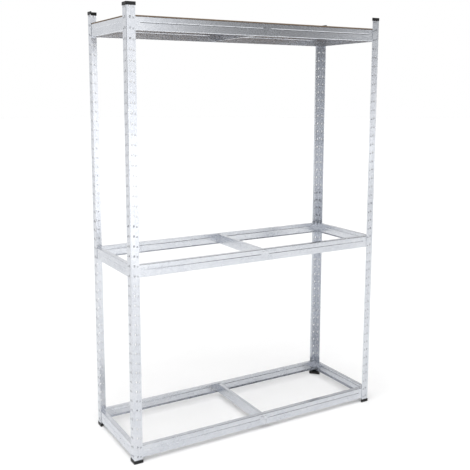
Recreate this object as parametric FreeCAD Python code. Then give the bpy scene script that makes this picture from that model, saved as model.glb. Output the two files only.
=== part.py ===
import FreeCAD, Part
import os
from math import floor

# Boltless storage rack: four punched angle posts in two halves each, three levels of
# hook-in beams with a centre tie, one loose board on the top level, plastic caps and feet.
# Millimetres. +X along the width, +Y towards the rear, +Z up, origin on the floor at the middle.

# Overall sizes
rack_width = 1210.0      # over the posts' outer faces
rack_depth = 415.0
rack_height = 1800.0     # floor to the top of the caps

# Sheet steel
sheet = 1.2
bend_radius = 2.0        # outside of a bend
post_flange = 36.0
fit_gap = 0.2            # between a post's inner face and what lies against it

# Punching of the posts
row_pitch = 39.0
row_rise = 4.0           # of the rows above the middle of their half of the post
keyhole_inset = 14.5     # from the post's corner to the keyhole column
pinhole_edge = 8.5       # from a flange's free edge to the small holes
pinhole_radius = 2.1
keyhole_drop = 4.5       # from the round mouth down to the seat

# Headed rivets that hook into the keyholes
shank_radius = 1.6
head_radius = 2.5
head_height = 1.0
head_bevel = 0.3
tail_radius = 2.2
tail_height = 0.8
shank_clearance = 0.2    # each side in the keyhole's neck
head_clearance = 0.4     # all round in the keyhole's mouth
hole_clearance = 0.05    # all round a rivet in its own beam

# Beams
rivet_edge = 5.5         # from a rivet's axis to the beam's top or bottom
beam_flange = 20.0       # top flange, turned inwards
beam_lip = 10.0          # bottom lip, turned inwards
corner_gap = 0.4         # between the beams that meet at a corner
notch_gap = 1.0          # between a side beam's cut-back flange and the long beam's flange
bead_below_top = 20.5    # stiffening bead in the web
bead_width = 5.0
bead_depth = 0.8
bead_end = 52.0          # plain stretch at each end of a beam

# Bridges in the long beams that take the tie's end tabs
bridge_width = 28.0
bridge_height = 26.0
bridge_below_top = 10.0
bridge_ramp = 2.5
bridge_offset = 10.0     # from the tie's web to the middle of the bridge
bridge_margin = 6.0      # plain web between bridge and bead

# Centre ties
tie_height = 42.0
tie_flange = 14.0
tie_lip = 8.0
tab_gap = 0.1            # play of a tab behind its bridge
tab_width = 18.0
tab_height = 22.0
tie_end_gap = 0.3        # from the tie's web to the beam's web

# Board
board_thickness = 5.0
board_gap = 0.6          # from the board's edge to the caps' inner walls

# Plastic caps and feet
end_plate = 3.0
end_skirt = 10.0
end_wall = 1.6
end_gap = 0.1            # between the plastic and the post
mould_radius = 0.5

# Splices inside the joint between the two halves of a post
splice_edge = 5.0        # from a post's free edge to the splice's
splice_rows = 2          # rows covered on each side of the joint

# Rows that the levels hang in, counted from the ends of the post halves
middle_rows_down = 4     # below the joint
top_rows_down = 3        # below the upper end

# Worked out from the sizes above
inner_bend = bend_radius - sheet
punch_depth = 4 * sheet
pinhole_inset = post_flange - pinhole_edge
splice_flange = post_flange - splice_edge
half_length = (rack_height - 2 * end_plate) / 2
half_rows = floor(half_length / row_pitch)
row_margin = (half_length - (half_rows - 1) * row_pitch) / 2 + row_rise
seam_height = end_plate + half_length
beam_height = row_pitch + 2 * rivet_edge
beam_setback = sheet + fit_gap
beam_start = beam_setback + sheet + corner_gap
neck_radius = shank_radius + shank_clearance
mouth_radius = head_radius + head_clearance
tab_setback = sheet + tab_gap
bridge_rise = sheet + 2 * tab_gap + sheet
levels = {"bottom": 0, "middle": half_rows - middle_rows_down, "top": 2 * half_rows - top_rows_down}

corners = {
    "front_left": (-1, -1, 0),
    "front_right": (1, -1, 90),
    "rear_right": (1, 1, 180),
    "rear_left": (-1, 1, 270),
}
up = FreeCAD.Vector(0, 0, 1)
along = FreeCAD.Vector(1, 0, 0)
inwards = FreeCAD.Vector(0, 1, 0)


def row_height(row):
    """Height of a punched row's seat above the floor, rows counted upwards from 0."""
    half, index = divmod(row, half_rows)
    return end_plate + half * half_length + row_margin + index * row_pitch


def at_corner(shape, name):
    """Turns a shape made for the front left corner and takes it to the named corner."""
    side, face, turn = corners[name]
    placed = shape.copy()
    placed.rotate(FreeCAD.Vector(), up, turn)
    placed.translate(FreeCAD.Vector(side * rack_width / 2, face * rack_depth / 2, 0))
    return placed


def box(low, high):
    size = [b - a for a, b in zip(low, high)]
    return Part.makeBox(*size, FreeCAD.Vector(*low))


def prism(points, direction):
    wire = Part.makePolygon([FreeCAD.Vector(*p) for p in points + points[:1]])
    return Part.Face(wire).extrude(direction)


def round_edges(shape, direction, radii):
    """Fillets edges that run along direction through the given points."""
    for point, radius in radii:
        spot = FreeCAD.Vector(*point)
        found = [
            edge for edge in shape.Edges
            if edge.distToShape(Part.Vertex(spot))[0] < 1e-6
            and abs(edge.tangentAt(edge.FirstParameter).dot(direction)) > 0.999
        ]
        shape = shape.makeFillet(radius, found)
    return shape


def angle(flange, start, height, thickness, outer_radius, inner_radius):
    """An equal angle whose outer corner stands at (start, start)."""
    far = start + flange
    inner = start + thickness
    outline = [
        (start, start, 0), (far, start, 0), (far, inner, 0),
        (inner, inner, 0), (inner, far, 0), (start, far, 0),
    ]
    solid = prism(outline, up * height)
    middle = height / 2
    return round_edges(solid, up, [
        ((start, start, middle), outer_radius),
        ((inner, inner, middle), inner_radius),
    ])


def keyhole(height):
    """Cutters through both flanges at one row: round seat, straight neck and round mouth."""
    columns = (
        (FreeCAD.Vector(keyhole_inset, -sheet, height), inwards, along),
        (FreeCAD.Vector(-sheet, keyhole_inset, height), along, inwards),
    )
    cutters = []
    for middle, axis, side in columns:
        drop = up * keyhole_drop
        seat = Part.makeCylinder(neck_radius, punch_depth, middle, axis)
        mouth = Part.makeCylinder(mouth_radius, punch_depth, middle + drop, axis)
        left = middle - side * neck_radius
        right = middle + side * neck_radius
        outline = Part.makePolygon([left, right, right + drop, left + drop, left])
        neck = Part.Face(outline).extrude(axis * punch_depth)
        cutters.append(seat.fuse([mouth, neck]).removeSplitter())
    return cutters


def pinholes(height):
    front = FreeCAD.Vector(pinhole_inset, -sheet, height)
    side = FreeCAD.Vector(-sheet, pinhole_inset, height)
    return [
        Part.makeCylinder(pinhole_radius, punch_depth, front, inwards),
        Part.makeCylinder(pinhole_radius, punch_depth, side, along),
    ]


def half_post():
    """One half of the front left post, standing on z = 0."""
    cutters = []
    for row in range(half_rows):
        height = row_margin + row * row_pitch
        cutters += keyhole(height) + pinholes(height)
    solid = angle(post_flange, 0, half_length, sheet, bend_radius, inner_bend)
    return solid.cut(Part.Compound(cutters))


def splice():
    """Inner angle across the joint of the front left post, in place."""
    reach = splice_rows * row_pitch
    solid = angle(splice_flange, beam_setback, 2 * reach, sheet, bend_radius, inner_bend)
    solid.translate(up * (seam_height - reach))
    holes = []
    for row in (half_rows - 1, half_rows):
        for spot, axis in post_spots(row_height(row)):
            holes.append(Part.makeCylinder(shank_radius + hole_clearance, punch_depth, spot, axis))
    return solid.cut(Part.Compound(holes))


def post_spots(height):
    """Where a rivet's axis crosses the two outer faces of the front left post."""
    return [
        (FreeCAD.Vector(keyhole_inset, 0, height), inwards),
        (FreeCAD.Vector(0, keyhole_inset, height), along),
    ]


def rivet(spot, axis):
    """Headed rivet through a post's flange and the sheet behind it; spot is on the outer face."""
    head_seat = spot - axis * fit_gap
    head = Part.makeCylinder(head_radius, head_height, head_seat, axis * -1)
    rim = [edge for edge in head.Edges if edge.Closed and
           (edge.CenterOfMass - head_seat).Length > head_height / 2]
    head = head.makeChamfer(head_bevel, rim)
    tail_seat = beam_setback + sheet
    shank = Part.makeCylinder(shank_radius, fit_gap + tail_seat + tail_height, head_seat, axis)
    tail = Part.makeCylinder(tail_radius, tail_height, spot + axis * tail_seat, axis)
    return head.fuse([shank, tail]).removeSplitter()


def foot():
    """Triangular plastic shoe for the front left post: plate, slot for the angle, inner pocket."""
    low = -end_gap - end_wall
    far = post_flange + end_gap + end_wall
    inner = sheet + end_gap + end_wall
    outline = [(low, low, 0), (far, low, 0), (far, inner, 0), (inner, far, 0), (low, far, 0)]
    height = end_plate + end_skirt
    solid = prism(outline, up * height)
    solid = round_edges(solid, up, [((low, low, height / 2), bend_radius + end_gap + end_wall)])
    pocket_leg = far - inner - (2 + 2 ** 0.5) * end_wall
    pocket = prism([
        (inner, inner, end_plate),
        (inner + pocket_leg, inner, end_plate),
        (inner, inner + pocket_leg, end_plate),
    ], up * end_skirt)
    return solid.cut([post_slot(end_plate), pocket])


def cap():
    """Plastic cap for the front left post, open below, with its top on z = 0.

    It follows the angle, so that the board can be lifted out past it.
    """
    flange = post_flange + 2 * (end_gap + end_wall)
    thickness = sheet + 2 * (end_gap + end_wall)
    height = end_plate + end_skirt
    radius = bend_radius + end_gap + end_wall
    solid = angle(flange, -end_gap - end_wall, height, thickness, radius, mould_radius)
    solid = solid.cut(post_slot(0))
    solid.translate(up * -height)
    return solid


def post_slot(bottom):
    """Cutter for the slot that an end piece has for the front left post."""
    slot = angle(
        post_flange + 2 * end_gap, -end_gap, end_skirt,
        sheet + 2 * end_gap, bend_radius + end_gap, inner_bend - end_gap,
    )
    slot.translate(up * bottom)
    return slot


def beam(length, cut_back, bridge):
    """A beam along X with its outer face on y = 0, its bottom on z = 0 and its middle at x = 0."""
    half = length / 2
    outline = [
        (-half, 0, 0), (-half, beam_lip, 0), (-half, beam_lip, sheet), (-half, sheet, sheet),
        (-half, sheet, beam_height - sheet), (-half, beam_flange, beam_height - sheet),
        (-half, beam_flange, beam_height), (-half, 0, beam_height),
    ]
    solid = round_edges(prism(outline, along * length), along, [
        ((0, 0, 0), bend_radius),
        ((0, 0, beam_height), bend_radius),
        ((0, sheet, sheet), inner_bend),
        ((0, sheet, beam_height - sheet), inner_bend),
    ])
    if cut_back:
        for start in (-half, half - cut_back):
            end = start + cut_back
            solid = solid.cut(box((start, sheet, 0), (end, beam_flange, beam_height)))

    stretches = [(-half + bead_end, half - bead_end)]
    if bridge:
        middle = bridge_offset
        clear = bridge_width / 2 + bridge_margin
        stretches = [(-half + bead_end, middle - clear), (middle + clear, half - bead_end)]
    for start, end in stretches:
        solid = add_bead(solid, start, end)
    if bridge:
        solid = add_bridge(solid)
    return solid


def add_bead(solid, start, end):
    """Presses a V-shaped bead into the web from start to end."""
    height = beam_height - bead_below_top
    run = along * (end - start)
    groove = prism([
        (start, 0, height - bead_width / 2),
        (start, bead_depth, height),
        (start, 0, height + bead_width / 2),
    ], run)
    ridge = prism([
        (start, sheet, height - bead_width / 2),
        (start, sheet + bead_depth, height),
        (start, sheet, height + bead_width / 2),
    ], run)
    return solid.fuse(ridge).cut(groove)


def add_bridge(solid):
    """Opens a window in the web and leaves a strap pressed outwards across it."""
    low = bridge_offset - bridge_width / 2
    high = bridge_offset + bridge_width / 2
    top = beam_height - bridge_below_top
    bottom = top - bridge_height
    window = box((low, -sheet, bottom), (high, 2 * sheet, top))
    outline = [
        (low, 0, bottom), (low + bridge_ramp, -bridge_rise, bottom),
        (high - bridge_ramp, -bridge_rise, bottom), (high, 0, bottom),
        (high, sheet, bottom), (high - bridge_ramp - sheet / 2, sheet - bridge_rise, bottom),
        (low + bridge_ramp + sheet / 2, sheet - bridge_rise, bottom), (low, sheet, bottom),
    ]
    strap = prism(outline, up * bridge_height)
    return solid.cut(window).fuse(strap)


def drilled(solid, half_span):
    """Drills the four rivet holes at the ends of a beam."""
    holes = []
    for side in (-1, 1):
        for height in (rivet_edge, beam_height - rivet_edge):
            spot = FreeCAD.Vector(side * half_span, -sheet, height)
            holes.append(Part.makeCylinder(shank_radius + hole_clearance, punch_depth, spot, inwards))
    return solid.cut(Part.Compound(holes))


def tie(bottom):
    """Centre tie between the long beams of the level whose beams stand on z = bottom."""
    half = rack_depth / 2 - beam_setback - sheet - tie_end_gap
    top = bottom + beam_height - sheet - fit_gap
    web_half = sheet / 2
    flange_half = rack_depth / 2 - beam_setback - sheet - tie_end_gap - bend_radius
    web = box((-web_half, -half, top - tie_height), (web_half, half, top))
    flange = box((-web_half, -flange_half, top - sheet), (tie_flange, flange_half, top))
    lip_half = rack_depth / 2 - beam_setback - beam_lip - notch_gap
    lip_low = top - tie_height
    lip = box((-web_half, -lip_half, lip_low), (tie_lip, lip_half, lip_low + sheet))
    pieces = [flange, lip]
    tab_low = bottom + beam_height - bridge_below_top - bridge_height / 2 - tab_height / 2
    for side in (-1, 1):
        far = rack_depth / 2 - beam_setback + tab_setback
        nose_low, nose_high = sorted((side * half, side * far))
        pieces.append(box((-web_half, nose_low, tab_low), (web_half, nose_high, tab_low + tab_height)))
        reach_low, reach_high = sorted((side * web_half, -side * tab_width))
        tab_near, tab_far = sorted((side * (far - sheet), side * far))
        pieces.append(box((reach_low, tab_near, tab_low), (reach_high, tab_far, tab_low + tab_height)))
    return web.fuse(pieces).removeSplitter()


def level_bottom(row):
    return row_height(row) - rivet_edge


def level_beams(row):
    """The four beams of a level, by side."""
    half_x = rack_width / 2
    half_y = rack_depth / 2
    long_beam = drilled(beam(rack_width - 2 * beam_start, 0, True), half_x - keyhole_inset)
    cut_back = beam_setback + beam_flange + notch_gap - beam_start
    side_beam = drilled(beam(rack_depth - 2 * beam_start, cut_back, False), half_y - keyhole_inset)
    places = {
        "front": (long_beam, 0, 0, beam_setback - half_y),
        "rear": (long_beam, 180, 0, half_y - beam_setback),
        "left": (side_beam, 270, beam_setback - half_x, 0),
        "right": (side_beam, 90, half_x - beam_setback, 0),
    }
    beams = {}
    for side, (shape, turn, x, y) in places.items():
        placed = shape.copy()
        placed.rotate(FreeCAD.Vector(), up, turn)
        placed.translate(FreeCAD.Vector(x, y, level_bottom(row)))
        beams[side] = placed
    return beams


def level_rivets(row):
    rivets = []
    for corner in corners:
        for height in (row_height(row), row_height(row + 1)):
            for spot, axis in post_spots(height):
                rivets.append(at_corner(rivet(spot, axis), corner))
    return Part.Compound(rivets)


def splice_rivets():
    rivets = []
    for corner in corners:
        for row in (half_rows - 1, half_rows):
            for spot, axis in post_spots(row_height(row)):
                rivets.append(at_corner(rivet(spot, axis), corner))
    return Part.Compound(rivets)


def board():
    inset = sheet + end_gap + end_wall + board_gap
    half_x = rack_width / 2 - inset
    half_y = rack_depth / 2 - inset
    bottom = level_bottom(levels["top"]) + beam_height
    return box((-half_x, -half_y, bottom), (half_x, half_y, bottom + board_thickness))


def build():
    nodes = {}
    post = half_post()
    shoe = foot()
    top_cap = cap()
    inner_splice = splice()
    for corner in corners:
        lower = at_corner(post, corner)
        lower.translate(up * end_plate)
        upper = at_corner(post, corner)
        upper.translate(up * seam_height)
        placed_cap = at_corner(top_cap, corner)
        placed_cap.translate(up * rack_height)
        nodes["post_lower_" + corner] = lower
        nodes["post_upper_" + corner] = upper
        nodes["splice_" + corner] = at_corner(inner_splice, corner)
        nodes["foot_" + corner] = at_corner(shoe, corner)
        nodes["cap_" + corner] = placed_cap
    nodes["splice_rivets"] = splice_rivets()
    for level, row in levels.items():
        for side, shape in level_beams(row).items():
            nodes["beam_" + level + "_" + side] = shape
        nodes["tie_" + level] = tie(level_bottom(row))
        nodes["rivets_" + level] = level_rivets(row)
    nodes["board"] = board()
    return nodes


os.makedirs("parts", exist_ok=True)
for node, shape in build().items():
    shape.exportStep(os.path.join("parts", node + ".step"))
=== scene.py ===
import math
import bpy
import bmesh
from mathutils import Matrix, Vector


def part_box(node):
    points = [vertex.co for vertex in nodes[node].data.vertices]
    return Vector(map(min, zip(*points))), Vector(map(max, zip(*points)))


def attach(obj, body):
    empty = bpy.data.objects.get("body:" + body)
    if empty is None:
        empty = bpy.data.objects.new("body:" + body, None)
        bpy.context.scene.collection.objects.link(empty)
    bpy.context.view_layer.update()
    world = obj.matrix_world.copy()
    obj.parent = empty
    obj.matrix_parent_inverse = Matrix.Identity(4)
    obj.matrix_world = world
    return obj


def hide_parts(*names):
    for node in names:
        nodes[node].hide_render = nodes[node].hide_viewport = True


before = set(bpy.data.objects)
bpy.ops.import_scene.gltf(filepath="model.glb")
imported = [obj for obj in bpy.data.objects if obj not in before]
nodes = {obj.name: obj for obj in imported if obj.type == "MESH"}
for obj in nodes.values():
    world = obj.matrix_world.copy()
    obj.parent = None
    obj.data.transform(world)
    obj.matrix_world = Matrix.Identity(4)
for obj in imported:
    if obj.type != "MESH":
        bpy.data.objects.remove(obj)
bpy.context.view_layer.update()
corners = ("front_left", "front_right", "rear_right", "rear_left")
levels = ("bottom", "middle", "top")
print("rack loaded,", len(nodes), "CAD nodes")

cameraLook = {
    "place": (-1.6250, -2.6944, 1.4667),
    "turn": -29.77,   # degrees round Z
    "tip": 8.28,      # degrees down
    "lens": 54.64,
    "shiftX": 0.0274,
    "shiftY": -0.08,
}


def addCamera(look):
    data = bpy.data.cameras.new("rackCamera")
    data.sensor_width = 36
    data.lens = look["lens"]
    data.shift_x = look["shiftX"]
    data.shift_y = look["shiftY"]
    data.dof.use_dof = False
    data.clip_end = 200
    camera = bpy.data.objects.new("rackCamera", data)
    camera.location = look["place"]
    camera.rotation_euler = (math.radians(90 - look["tip"]), 0, math.radians(look["turn"]))
    bpy.context.scene.collection.objects.link(camera)
    bpy.context.scene.camera = camera


addCamera(cameraLook)
print("camera placed")


def newMaterial(name):
    material = bpy.data.materials.new(name)
    material.use_nodes = True
    tree = material.node_tree
    shader = tree.nodes["Principled BSDF"]
    place = tree.nodes.new("ShaderNodeTexCoord")
    place.location = (-1400, 0)
    return material, tree, shader, place.outputs["Object"]


def stretch(tree, source, scale, turn=(0, 0, 0)):
    # scale and turn a pattern about the rack's own origin
    node = tree.nodes.new("ShaderNodeMapping")
    node.inputs["Scale"].default_value = scale
    node.inputs["Rotation"].default_value = turn
    tree.links.new(source, node.inputs["Vector"])
    return node.outputs["Vector"]


def noise(tree, source, scale, detail=3, rough=0.5, warp=0.0):
    node = tree.nodes.new("ShaderNodeTexNoise")
    node.inputs["Scale"].default_value = scale
    node.inputs["Detail"].default_value = detail
    node.inputs["Roughness"].default_value = rough
    node.inputs["Distortion"].default_value = warp
    tree.links.new(source, node.inputs["Vector"])
    return node.outputs["Fac"]


def flakes(tree, source, scale):
    # one random value for each crystal
    node = tree.nodes.new("ShaderNodeTexVoronoi")
    node.inputs["Scale"].default_value = scale
    node.inputs["Randomness"].default_value = 1.0
    tree.links.new(source, node.inputs["Vector"])
    split = tree.nodes.new("ShaderNodeSeparateColor")
    tree.links.new(node.outputs["Color"], split.inputs["Color"])
    return split.outputs["Red"]


def spread(tree, source, low, high, fromLow=0.0, fromHigh=1.0):
    node = tree.nodes.new("ShaderNodeMapRange")
    node.inputs["From Min"].default_value = fromLow
    node.inputs["From Max"].default_value = fromHigh
    node.inputs["To Min"].default_value = low
    node.inputs["To Max"].default_value = high
    tree.links.new(source, node.inputs["Value"])
    return node.outputs["Result"]


def combine(tree, kind, first, second):
    node = tree.nodes.new("ShaderNodeMath")
    node.operation = kind
    for socket, value in zip(node.inputs, (first, second)):
        if isinstance(value, (int, float)):
            socket.default_value = value
        else:
            tree.links.new(value, socket)
    return node.outputs["Value"]


def ramp(tree, source, stops):
    node = tree.nodes.new("ShaderNodeValToRGB")
    band = node.color_ramp
    while len(band.elements) < len(stops):
        band.elements.new(0.5)
    for element, (at, color) in zip(band.elements, stops):
        element.position = at
        element.color = (*color, 1)
    tree.links.new(source, node.inputs["Fac"])
    return node.outputs["Color"]


def mixColors(tree, factor, first, second):
    node = tree.nodes.new("ShaderNodeMix")
    node.data_type = "RGBA"
    for socket, value in ((node.inputs[0], factor), (node.inputs[6], first), (node.inputs[7], second)):
        if isinstance(value, (int, float)):
            socket.default_value = value
        elif isinstance(value, tuple):
            socket.default_value = (*value, 1)
        else:
            tree.links.new(value, socket)
    return node.outputs[2]


def bump(tree, source, strength, distance, before=None):
    node = tree.nodes.new("ShaderNodeBump")
    node.inputs["Strength"].default_value = strength
    node.inputs["Distance"].default_value = distance
    tree.links.new(source, node.inputs["Height"])
    if before is not None:
        tree.links.new(before, node.inputs["Normal"])
    return node.outputs["Normal"]


steelLook = {
    "dull": (0.50, 0.52, 0.565),
    "plain": (0.61, 0.63, 0.67),
    "bright": (0.74, 0.75, 0.775),
    "crystals": 90,       # spangle cells in a metre
    "smallCrystals": 240,
    "roughLow": 0.24,
    "roughHigh": 0.29,
    "bloomRough": 0.05,    # added where the zinc has dulled
    "waves": 0.06,         # strength of the sheet's slow waves
    "lines": 0.05,         # and of the rolling lines
    "weights": {"crystal": 0.13, "small": 0.05, "cloud": 0.36, "rolled": 0.46},
    "bloom": (0.60, 0.62, 0.64),
    # punched holes of the posts: distances from the corner, and the dark ring at the rolled-in edge, partly
    # painted shade of the hole and partly darker punched zinc
    "keyholes": 0.0149,
    "pinholes": 0.0279,
    "rows": 0.039,
    "reach": 0.0042,
    "mouthLift": 0.0032,  # keyholes' mouths stand above the rivets
    "rivetRadius": 0.0025,
}


def holeEdgeShadeAndZinc(tree, place):
    # 1 at the edge of a hole, 0 a few millimetres away, for both flanges of every post: the dark ring of
    # painted hole shade and darker punched zinc
    look = steelLook
    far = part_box("post_lower_rear_right")[1]
    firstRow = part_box("rivets_bottom")[0].z + look["rivetRadius"]
    split = tree.nodes.new("ShaderNodeSeparateXYZ")
    tree.links.new(place, split.inputs["Vector"])
    across = combine(tree, "SUBTRACT", far.x, combine(tree, "ABSOLUTE", split.outputs["X"], 0))
    deep = combine(tree, "SUBTRACT", far.y, combine(tree, "ABSOLUTE", split.outputs["Y"], 0))
    along = combine(tree, "ADD", across, deep)
    height = combine(tree, "SUBTRACT", split.outputs["Z"], firstRow - look["rows"] / 2)
    height = combine(tree, "FLOORED_MODULO", height, look["rows"])
    height = combine(tree, "SUBTRACT", height, look["rows"] / 2)
    holeShadeAndZincMask = None
    for column, lift, size in ((look["keyholes"], look["mouthLift"], 1.0), (look["pinholes"], 0.0, 0.85)):
        side = combine(tree, "SUBTRACT", along, column)
        rise = combine(tree, "MULTIPLY", combine(tree, "SUBTRACT", height, lift), 0.8 if lift else 1.0)
        sideSquare = combine(tree, "MULTIPLY", side, side)
        square = combine(tree, "ADD", sideSquare, combine(tree, "MULTIPLY", rise, rise))
        away = combine(tree, "SQRT", square, 0)
        ringShadeAndZinc = spread(tree, away, 1.0, 0.0, look["reach"] * 0.62 * size, look["reach"] * 1.15 * size)
        holeShadeAndZincMask = ringShadeAndZinc if holeShadeAndZincMask is None else combine(tree, "MAXIMUM", holeShadeAndZincMask, ringShadeAndZinc)
    return holeShadeAndZincMask


def galvanisedSteel(name, grain, punched=False):
    # grain is the direction that the sheet was rolled in, as a scale
    look = steelLook
    material, tree, shader, place = newMaterial(name)
    warped = noise(tree, place, 35, 2)
    crystal = flakes(tree, stretch(tree, place, (1, 1, 1), (0.3, 0.5, 0.2)), look["crystals"])
    small = flakes(tree, place, look["smallCrystals"])
    cloud = noise(tree, place, 7, 4, 0.6)
    rolled = noise(tree, stretch(tree, place, grain), 1.0, 4, 0.65)
    # tone of the zinc: crystals, cloudy patches, rolling lines
    weights = look["weights"]
    tone = combine(tree, "MULTIPLY", crystal, weights["crystal"])
    for layer, part in ((small, "small"), (cloud, "cloud"), (rolled, "rolled")):
        tone = combine(tree, "ADD", tone, combine(tree, "MULTIPLY", layer, weights[part]))
    color = ramp(tree, tone, ((0.22, look["dull"]), (0.50, look["plain"]), (0.78, look["bright"])))
    # pale bloom where the zinc has started to dull
    bloom = spread(tree, noise(tree, place, 16, 5, 0.65, 0.6), 0.0, 0.35, 0.56, 0.74)
    color = mixColors(tree, bloom, color, look["bloom"])
    if punched:
        holeShadeAndZincMask = holeEdgeShadeAndZinc(tree, place)
        # dark ring round each hole: painted shade of the hole's edge, partly darker zinc where the sheet was
        # punched
        color = mixColors(tree, combine(tree, "MULTIPLY", holeShadeAndZincMask, 0.72), color, (0.16, 0.165, 0.18))
    tree.links.new(color, shader.inputs["Base Color"])
    rough = spread(tree, tone, look["roughHigh"], look["roughLow"], 0.25, 0.75)
    rough = combine(tree, "ADD", rough, combine(tree, "MULTIPLY", bloom, look["bloomRough"]))
    tree.links.new(rough, shader.inputs["Roughness"])
    shader.inputs["Metallic"].default_value = 1.0
    low = bump(tree, warped, look["waves"], 0.0006)
    mid = bump(tree, rolled, look["lines"], 0.0003, low)
    if punched:
        mid = bump(tree, combine(tree, "SUBTRACT", 1.0, holeShadeAndZincMask), 0.5, 0.0003, mid)
    tree.links.new(mid, shader.inputs["Normal"])
    return material


def zincRivet():
    material, tree, shader, place = newMaterial("zincRivet")
    cloud = noise(tree, place, 160, 3, 0.6)
    speck = noise(tree, place, 1400, 2, 0.6)
    color = ramp(tree, cloud, ((0.30, (0.42, 0.44, 0.46)), (0.70, (0.66, 0.67, 0.68))))
    tree.links.new(color, shader.inputs["Base Color"])
    tree.links.new(spread(tree, speck, 0.24, 0.42), shader.inputs["Roughness"])
    shader.inputs["Metallic"].default_value = 1.0
    tree.links.new(bump(tree, speck, 0.25, 0.0002), shader.inputs["Normal"])
    return material


def blackPlastic():
    material, tree, shader, place = newMaterial("blackPlastic")
    pebble = flakes(tree, place, 1500)
    cloud = noise(tree, place, 60, 3, 0.6)
    scuff = spread(tree, noise(tree, stretch(tree, place, (40, 40, 260)), 1.0, 4, 0.7), 0.0, 1.0, 0.60, 0.72)
    color = ramp(tree, cloud, ((0.3, (0.006, 0.006, 0.0065)), (0.7, (0.014, 0.014, 0.015))))
    color = mixColors(tree, combine(tree, "MULTIPLY", scuff, 0.35), color, (0.045, 0.045, 0.047))
    tree.links.new(color, shader.inputs["Base Color"])
    rough = combine(tree, "ADD", spread(tree, cloud, 0.40, 0.56), combine(tree, "MULTIPLY", scuff, 0.15))
    tree.links.new(rough, shader.inputs["Roughness"])
    tree.links.new(bump(tree, pebble, 0.22, 0.0001), shader.inputs["Normal"])
    shader.inputs["Specular IOR Level"].default_value = 0.32
    return material


def fibreBoard():
    material, tree, shader, place = newMaterial("fibreBoard")
    fibres = noise(tree, stretch(tree, place, (260, 1500, 900), (0, 0, 0.5)), 1.0, 4, 0.7)
    crossed = noise(tree, stretch(tree, place, (1500, 300, 900), (0, 0, -0.4)), 1.0, 3, 0.7)
    cloud = noise(tree, place, 5, 4, 0.55)
    tone = combine(tree, "MULTIPLY", fibres, 0.45)
    tone = combine(tree, "ADD", tone, combine(tree, "MULTIPLY", crossed, 0.30))
    tone = combine(tree, "ADD", tone, combine(tree, "MULTIPLY", cloud, 0.25))
    browns = ((0.34, (0.085, 0.056, 0.036)), (0.50, (0.165, 0.115, 0.076)), (0.66, (0.25, 0.185, 0.13)))
    color = ramp(tree, tone, browns)
    tree.links.new(color, shader.inputs["Base Color"])
    tree.links.new(spread(tree, tone, 0.72, 0.92, 0.3, 0.7), shader.inputs["Roughness"])
    tree.links.new(bump(tree, combine(tree, "ADD", fibres, crossed), 0.22, 0.0002), shader.inputs["Normal"])
    shader.inputs["Specular IOR Level"].default_value = 0.3
    return material


finishes = {
    "upright": galvanisedSteel("steelUpright", (150, 150, 3), True),
    "long": galvanisedSteel("steelLong", (3, 150, 150)),
    "cross": galvanisedSteel("steelCross", (150, 3, 150)),
    "rivet": zincRivet(),
    "plastic": blackPlastic(),
    "board": fibreBoard(),
}


def dress(piece, finish):
    piece.data.materials.clear()
    piece.data.materials.append(finishes[finish])


def finishOf(name):
    if name == "board":
        return "board"
    if name.startswith(("cap_", "foot_")):
        return "plastic"
    if "rivets" in name:
        return "rivet"
    if name.startswith(("post_", "splice_")):
        return "upright"
    if name.startswith("tie_") or name.endswith(("_left", "_right")):
        return "cross"
    return "long"


for name, node in nodes.items():
    dress(node, finishOf(name))
print("finishes mixed and assigned")


def makePiece(name, work, body, finish, replaced):
    mesh = bpy.data.meshes.new(name)
    bmesh.ops.remove_doubles(work, verts=work.verts, dist=1e-6)
    bmesh.ops.recalc_face_normals(work, faces=work.faces)
    work.to_mesh(mesh)
    work.free()
    piece = bpy.data.objects.new(name, mesh)
    bpy.context.scene.collection.objects.link(piece)
    mesh.materials.append(finishes[finish])
    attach(piece, body)
    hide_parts(*replaced)
    return piece


def roundOff(work, edges, size, segments):
    return bmesh.ops.bevel(
        work, geom=edges, offset=size, offset_type="OFFSET", affect="EDGES",
        segments=segments, profile=0.5, material=-1, clamp_overlap=True,
    )


def atCorner(work, corner, outer):
    # turn a piece made for the front left corner, its post corner on the origin
    turns = {"front_left": 0, "front_right": 90, "rear_right": 180, "rear_left": 270}
    spin = Matrix.Rotation(math.radians(turns[corner]), 4, "Z")
    bmesh.ops.transform(work, matrix=Matrix.Translation(outer) @ spin, verts=work.verts)


def outerCorner(node, corner, wall):
    # where the post's own corner is, on the lower side of a cap or foot
    low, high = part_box(node)
    x = low.x + wall if "left" in corner else high.x - wall
    y = low.y + wall if "front" in corner else high.y - wall
    return Vector((x, y, low.z)), high.z - low.z


def pointsOf(made):
    return [v for v in made if isinstance(v, bmesh.types.BMVert)]


def plate(work, points, z):
    return work.faces.new([work.verts.new((x, y, z)) for x, y in points])


def raised(work, faces, height):
    made = bmesh.ops.extrude_face_region(work, geom=faces)["geom"]
    bmesh.ops.translate(work, vec=(0, 0, height), verts=pointsOf(made))
    bmesh.ops.delete(work, geom=[f for f in faces if f.is_valid], context="FACES_ONLY")
    return [f for f in made if isinstance(f, bmesh.types.BMFace)]


def edgesAt(work, z, near=1e-5):
    return [e for e in work.edges if all(abs(v.co.z - z) < near for v in e.verts)]


boardLook = {"arris": 0.0005, "steps": 2}


def addBoard(look):
    low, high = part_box("board")
    work = bmesh.new()
    bmesh.ops.create_cube(work, size=1)
    bmesh.ops.scale(work, vec=high - low, verts=work.verts)
    bmesh.ops.translate(work, vec=(low + high) / 2, verts=work.verts)
    roundOff(work, work.edges[:], look["arris"], look["steps"])
    return makePiece("fibreBoardTop", work, "board", "board", ["board"])


addBoard(boardLook)
print("board cut")

capLook = {
    "wall": 0.0017,       # outside of the post
    "skin": 0.0016,
    "top": 0.003,
    "corner": 0.0037,
    "rim": 0.0009,
    "width": 0.0046,
}


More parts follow.
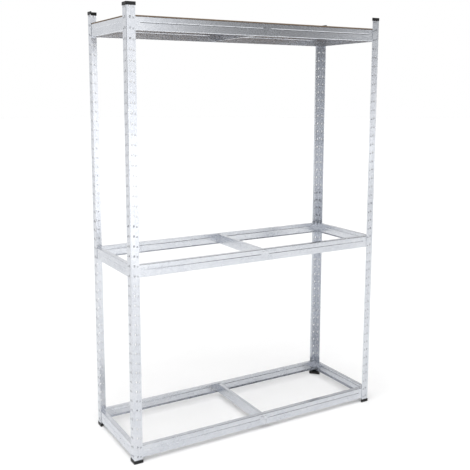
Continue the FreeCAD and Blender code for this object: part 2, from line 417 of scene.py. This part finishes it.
def addCap(corner, look):
    node = "cap_" + corner
    outer, height = outerCorner(node, corner, look["wall"])
    low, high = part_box(node)
    start = -look["wall"]
    far = start + high.x - low.x
    inner = start + look["width"]
    work = bmesh.new()
    outline = ((start, start), (far, start), (far, inner), (inner, inner), (inner, far), (start, far))
    base = plate(work, outline, 0)
    bend = [v for v in base.verts if v.co.x < 0 and v.co.y < 0]
    bmesh.ops.bevel(work, geom=bend, offset=look["corner"], offset_type="OFFSET", affect="VERTICES",
                    segments=8, profile=0.5, material=-1)
    base = work.faces[:]
    top = bmesh.ops.extrude_face_region(work, geom=base)["geom"]
    bmesh.ops.translate(work, vec=(0, 0, height), verts=pointsOf(top))
    roundOff(work, edgesAt(work, height), look["rim"], 4)
    # slot for the post, pushed up from below
    under = [f for f in work.faces if all(abs(v.co.z) < 1e-7 for v in f.verts)]
    bmesh.ops.inset_region(work, faces=under, thickness=look["skin"], use_even_offset=True)
    raised(work, under, height - look["top"])
    atCorner(work, corner, outer)
    return makePiece("capTop_" + corner, work, "frame", "plastic", [node])


for corner in corners:
    addCap(corner, capLook)
print("caps pressed on")

footLook = {
    "wall": 0.0017,
    "skin": 0.0016,
    "sole": 0.003,
    "corner": 0.0037,
    "rim": 0.0005,
    "ribGap": 0.0014,     # from the post's corner to the inner rib
    "rib": 0.0011,        # thickness of the inner rib
    "ribEnd": 0.009,      # rib stops this far short of the foot's ends
    "ribHeight": 0.0075,
    "bite": 0.0002,       # rib reaches into the sole
    "tread": 0.0004,
}


def addFoot(corner, look):
    node = "foot_" + corner
    outer, height = outerCorner(node, corner, look["wall"])
    low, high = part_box(node)
    start = -look["wall"]
    far = start + high.x - low.x
    inner = look["ribGap"] + look["skin"]
    work = bmesh.new()
    outline = ((start, start), (far, start), (far, inner), (inner, far), (start, far))
    base = plate(work, outline, 0)
    bend = [v for v in base.verts if v.co.x < 0 and v.co.y < 0]
    bmesh.ops.bevel(work, geom=bend, offset=look["corner"], offset_type="OFFSET", affect="VERTICES",
                    segments=8, profile=0.5, material=-1)
    sole = bmesh.ops.extrude_face_region(work, geom=work.faces[:])["geom"]
    bmesh.ops.translate(work, vec=(0, 0, look["sole"]), verts=pointsOf(sole))
    upper = [f for f in work.faces if all(abs(v.co.z - look["sole"]) < 1e-7 for v in f.verts)]
    rim = bmesh.ops.inset_region(work, faces=upper, thickness=look["skin"], use_even_offset=True)["faces"]
    raised(work, rim, height - look["sole"])
    roundOff(work, edgesAt(work, height), look["rim"], 2)
    # shallow tread under the sole
    under = [f for f in work.faces if all(abs(v.co.z) < 1e-7 for v in f.verts)]
    bmesh.ops.inset_region(work, faces=under, thickness=look["skin"] * 1.5, use_even_offset=True)
    raised(work, under, look["tread"])
    # inner rib that holds the post against the walls
    gap, rib = look["ribGap"], look["ribGap"] + look["rib"]
    legs = far - look["ribEnd"]
    ribLine = ((gap, gap), (legs, gap), (legs, rib), (rib, rib), (rib, legs), (gap, legs))
    ribFace = plate(work, ribLine, look["sole"] - look["bite"])
    tops = bmesh.ops.extrude_face_region(work, geom=[ribFace])["geom"]
    bmesh.ops.translate(work, vec=(0, 0, look["ribHeight"]), verts=pointsOf(tops))
    atCorner(work, corner, outer)
    return makePiece("footShoe_" + corner, work, "frame", "plastic", [node])


for corner in corners:
    addFoot(corner, footLook)
print("feet set under the posts")

rivetLook = {
    "inset": 0.0145,      # from the post's corner to the rivet's axis
    "headRadius": 0.0025,
    "headHeight": 0.001,
    "shankRadius": 0.0016,
    "tailRadius": 0.0022,
    "tailHeight": 0.0008,
    "grip": 0.0028,       # between head and tail
    "dimple": 0.0002,
    "seatGap": 0.0002,    # head stands off the post's face
    "sides": 20,
}


def rivetShape(look):
    # half section turned about Z: head above, shank, tail below
    head, high = look["headRadius"], look["headHeight"]
    tail, deep = look["tailRadius"], look["grip"] + look["tailHeight"]
    section = (
        (0, high - look["dimple"]), (head * 0.28, high - look["dimple"] * 0.6), (head * 0.42, high),
        (head * 0.72, high * 0.93), (head * 0.93, high * 0.62), (head, high * 0.25), (head * 0.98, 0),
        (look["shankRadius"], 0), (look["shankRadius"], -look["grip"]), (tail * 0.97, -look["grip"]),
        (tail, -look["grip"] - look["tailHeight"] * 0.5), (tail * 0.8, -deep), (0, -deep),
    )
    work = bmesh.new()
    points = [work.verts.new((x, 0, z)) for x, z in section]
    line = [work.edges.new(pair) for pair in zip(points, points[1:])]
    bmesh.ops.spin(work, geom=points + line, cent=(0, 0, 0), axis=(0, 0, 1), angle=2 * math.pi,
                   steps=look["sides"], use_merge=True)
    bmesh.ops.remove_doubles(work, verts=work.verts, dist=1e-6)
    bmesh.ops.recalc_face_normals(work, faces=work.faces)
    mesh = bpy.data.meshes.new("rivetShape")
    work.to_mesh(mesh)
    work.free()
    return mesh


def addRivets(node, body, look):
    low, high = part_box(node)
    shape = rivetShape(look)
    seatX = high.x - look["headHeight"]
    seatY = high.y - look["headHeight"]
    faceX, faceY = seatX - look["seatGap"], seatY - look["seatGap"]
    rows = (low.z + look["headRadius"], high.z - look["headRadius"])
    work = bmesh.new()
    for sideX in (-1, 1):
        for sideY in (-1, 1):
            for z in rows:
                out = Vector((0, sideY, 0))
                addRivet(work, shape, (sideX * (faceX - look["inset"]), sideY * seatY, z), out)
                out = Vector((sideX, 0, 0))
                addRivet(work, shape, (sideX * seatX, sideY * (faceY - look["inset"]), z), out)
    bpy.data.meshes.remove(shape)
    piece = makePiece("rivetSet_" + node.replace("rivets_", ""), work, body, "rivet", [node])
    piece.data.shade_smooth()
    return piece


def addRivet(work, shape, seat, out):
    before = len(work.verts)
    work.from_mesh(shape)
    work.verts.ensure_lookup_table()
    turn = out.to_track_quat("Z", "Y").to_matrix().to_4x4()
    bmesh.ops.transform(work, matrix=Matrix.Translation(seat) @ turn, verts=work.verts[before:])


for level in levels:
    addRivets("rivets_" + level, "level_" + level, rivetLook)
addRivets("splice_rivets", "frame", rivetLook)
print("rivets headed")


studio = {
    "floor": (0.93, 0.93, 0.93),
    "paper": 1.0,       # what the camera sees behind the rack
    "behind": 1.0,      # soft light from behind the rack
    "infront": 0.17,    # and from the room in front of it and beside it
    "sunPower": 3.0,
    "sunAngle": 70,     # degrees, a large one is soft
    "sunTurn": (14, -16, 0),
    "floorRadius": 40,
    # place, aim, width and height, power
    "key": ((-0.35, -3.9, 1.7), (-0.35, 0, 1.7), (3.4, 3.0), 42),
    "side": ((4.1, -3.9, 1.5), (4.1, 0, 1.5), (0.9, 1.8), 7.5),
}


def addLamp(name, place, aim, size, power):
    data = bpy.data.lights.new(name, "AREA")
    data.shape = "RECTANGLE"
    data.size, data.size_y = size
    data.energy = power
    lamp = bpy.data.objects.new(name, data)
    lamp.location = place
    lamp.rotation_euler = (Vector(aim) - Vector(place)).to_track_quat("-Z", "Y").to_euler()
    bpy.context.scene.collection.objects.link(lamp)


def addSun(look):
    data = bpy.data.lights.new("ceiling", "SUN")
    data.energy = look["sunPower"]
    data.angle = math.radians(look["sunAngle"])
    lamp = bpy.data.objects.new("ceiling", data)
    lamp.rotation_euler = [math.radians(turn) for turn in look["sunTurn"]]
    bpy.context.scene.collection.objects.link(lamp)


def addWorld(look):
    # white paper for the eye, a room that is lighter behind the rack for the metal
    world = bpy.data.worlds.new("studio")
    bpy.context.scene.world = world
    world.use_nodes = True
    tree = world.node_tree
    back = tree.nodes["Background"]
    split = tree.nodes.new("ShaderNodeSeparateXYZ")
    tree.links.new(tree.nodes.new("ShaderNodeTexCoord").outputs["Generated"], split.inputs["Vector"])
    room = spread(tree, split.outputs["Y"], look["infront"], look["behind"], 0.45, 0.85)
    eye = tree.nodes.new("ShaderNodeLightPath").outputs["Is Camera Ray"]
    paper = combine(tree, "MULTIPLY", eye, look["paper"])
    rest = combine(tree, "MULTIPLY", combine(tree, "SUBTRACT", 1.0, eye), room)
    tree.links.new(combine(tree, "ADD", paper, rest), back.inputs["Strength"])
    back.inputs["Color"].default_value = (1, 1, 1, 1)


def addStudio(look):
    addWorld(look)
    addSun(look)
    for name in ("key", "side"):
        addLamp(name, *look[name])
    work = bmesh.new()
    bmesh.ops.create_circle(work, cap_ends=True, segments=96, radius=look["floorRadius"])
    mesh = bpy.data.meshes.new("studioFloor")
    work.to_mesh(mesh)
    work.free()
    floor = bpy.data.objects.new("studioFloor", mesh)
    bpy.context.scene.collection.objects.link(floor)
    material, tree, shader, place = newMaterial("paperFloor")
    color = ramp(tree, noise(tree, place, 3, 3), ((0.3, look["floor"]), (0.7, (0.95, 0.95, 0.95))))
    tree.links.new(color, shader.inputs["Base Color"])
    shader.inputs["Roughness"].default_value = 0.9
    shader.inputs["Specular IOR Level"].default_value = 0.1
    mesh.materials.append(material)
    bpy.context.scene.view_settings.view_transform = "Standard"


addStudio(studio)
print("studio lit")
